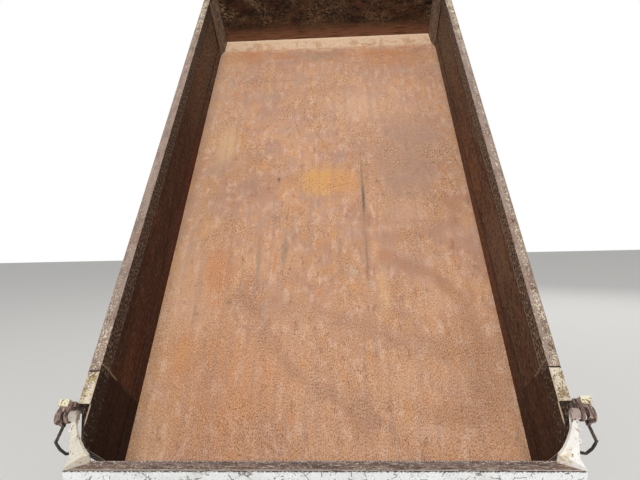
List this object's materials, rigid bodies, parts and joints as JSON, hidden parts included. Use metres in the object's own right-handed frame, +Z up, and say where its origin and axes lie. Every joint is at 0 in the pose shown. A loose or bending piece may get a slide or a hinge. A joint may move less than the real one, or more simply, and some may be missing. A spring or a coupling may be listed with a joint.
{
  "type": "tipping dump body",
  "caption": "Raised steel tipping bed with a top-hinged tailgate, on a subframe with rear hinges and a hydraulic hoist.",
  "frame": {"origin": "on the ground under the subframe, at the middle of the whole object's box", "axes": "+X to the right seen from behind, +Y forward to the cab, +Z up"},
  "size_m": [1.8114, 3.4044, 3.1451],
  "materials": {
    "polished_rust": "satin",
    "dark_rust": "rough",
    "white_paint": "gloss",
    "black_paint": "satin",
    "rubber": "matte",
    "bare_steel": "worn",
    "rusty_forging": "rough",
    "chrome_rod": "polished",
    "hoist_paint": "gloss"
  },
  "bodies": {
    "subframe": {"left_subframe_rail": "black_paint", "right_subframe_rail": "black_paint", "left_fishplates": "black_paint", "right_fishplates": "black_paint", "subframe_cross_members": "black_paint", "hinge_brackets": "black_paint", "hinge_pins": "bare_steel", "rear_cross_tube": "black_paint", "hoist_cross_member": "black_paint", "hoist_lower_pin": "bare_steel", "rest_pads": "rubber"},
    "bed": {"floor_plate": "polished_rust", "bed_cross_members": "black_paint", "rear_sill": "black_paint", "bed_hinge_ears": "black_paint", "hoist_ears": "black_paint", "headboard": "dark_rust", "headboard_ribs": "white_paint", "headboard_rails": "white_paint", "fillet_plate": "dark_rust", "cab_guard": "white_paint", "right_side_wall": "dark_rust", "left_side_wall": "dark_rust", "right_top_rail": "white_paint", "left_top_rail": "white_paint", "right_wall_stakes": "white_paint", "left_wall_stakes": "white_paint", "right_rear_post": "white_paint", "left_rear_post": "white_paint", "right_side_sill": "white_paint", "left_side_sill": "white_paint", "right_long_sill": "black_paint", "left_long_sill": "black_paint", "right_corner_plate": "dark_rust", "left_corner_plate": "dark_rust", "right_pin_keeper": "rusty_forging", "left_pin_keeper": "rusty_forging", "right_keeper_chain": "rusty_forging", "left_keeper_chain": "rusty_forging", "right_rope_hooks": "white_paint", "left_rope_hooks": "white_paint", "latch_bearings": "black_paint"},
    "tailgate": {"tailgate_panel": "white_paint", "tailgate_ribs": "white_paint", "tailgate_ends": "white_paint", "tailgate_top_rail": "white_paint", "tailgate_foot_rail": "white_paint", "right_hinge_arm": "white_paint", "left_hinge_arm": "white_paint", "tailgate_strikers": "bare_steel"},
    "latch": {"latch_hooks": "bare_steel", "latch_shaft": "bare_steel", "latch_lever": "white_paint"},
    "hoist_barrel": {"hoist_barrel": "hoist_paint", "hoist_gland": "hoist_paint", "hoist_pipe": "hoist_paint"},
    "hoist_rod": {"hoist_rod": "chrome_rod", "hoist_rod_eye": "bare_steel"}
  },
  "joints": [
    {"name": "bed_tip", "type": "hinge", "parent": "subframe", "child": "bed", "pos_m": [0, -1.14776, 0.2395], "axis": [1, 0, 0], "range_deg": [-52.4, 0]},
    {"name": "tailgate_swing", "type": "hinge", "parent": "bed", "child": "tailgate", "pos_m": [0, -1.61677, 0.5401], "axis": [-1, 0, 0], "range_deg": [-32, 60]},
    {"name": "latch_turn", "type": "hinge", "parent": "bed", "child": "latch", "pos_m": [0, -1.2312, 0.19016], "axis": [1, 0, 0], "range_deg": [-35, 0]},
    {"name": "hoist_swing", "type": "hinge", "parent": "subframe", "child": "hoist_barrel", "pos_m": [0, -0.39776, 0.12], "axis": [1, 0, 0], "range_deg": [-69.67, 0]},
    {"name": "rod_slide", "type": "slide", "parent": "hoist_barrel", "child": "hoist_rod", "axis": [0, 0.236, 0.9717], "range_m": [-0.5244, 0]}
  ],
  "couplings": [
    {"joint": "hoist_swing", "follows": "bed_tip", "ratio": 1.3292},
    {"joint": "rod_slide", "follows": "bed_tip", "m_per_rad": 0.57289}
  ]
}
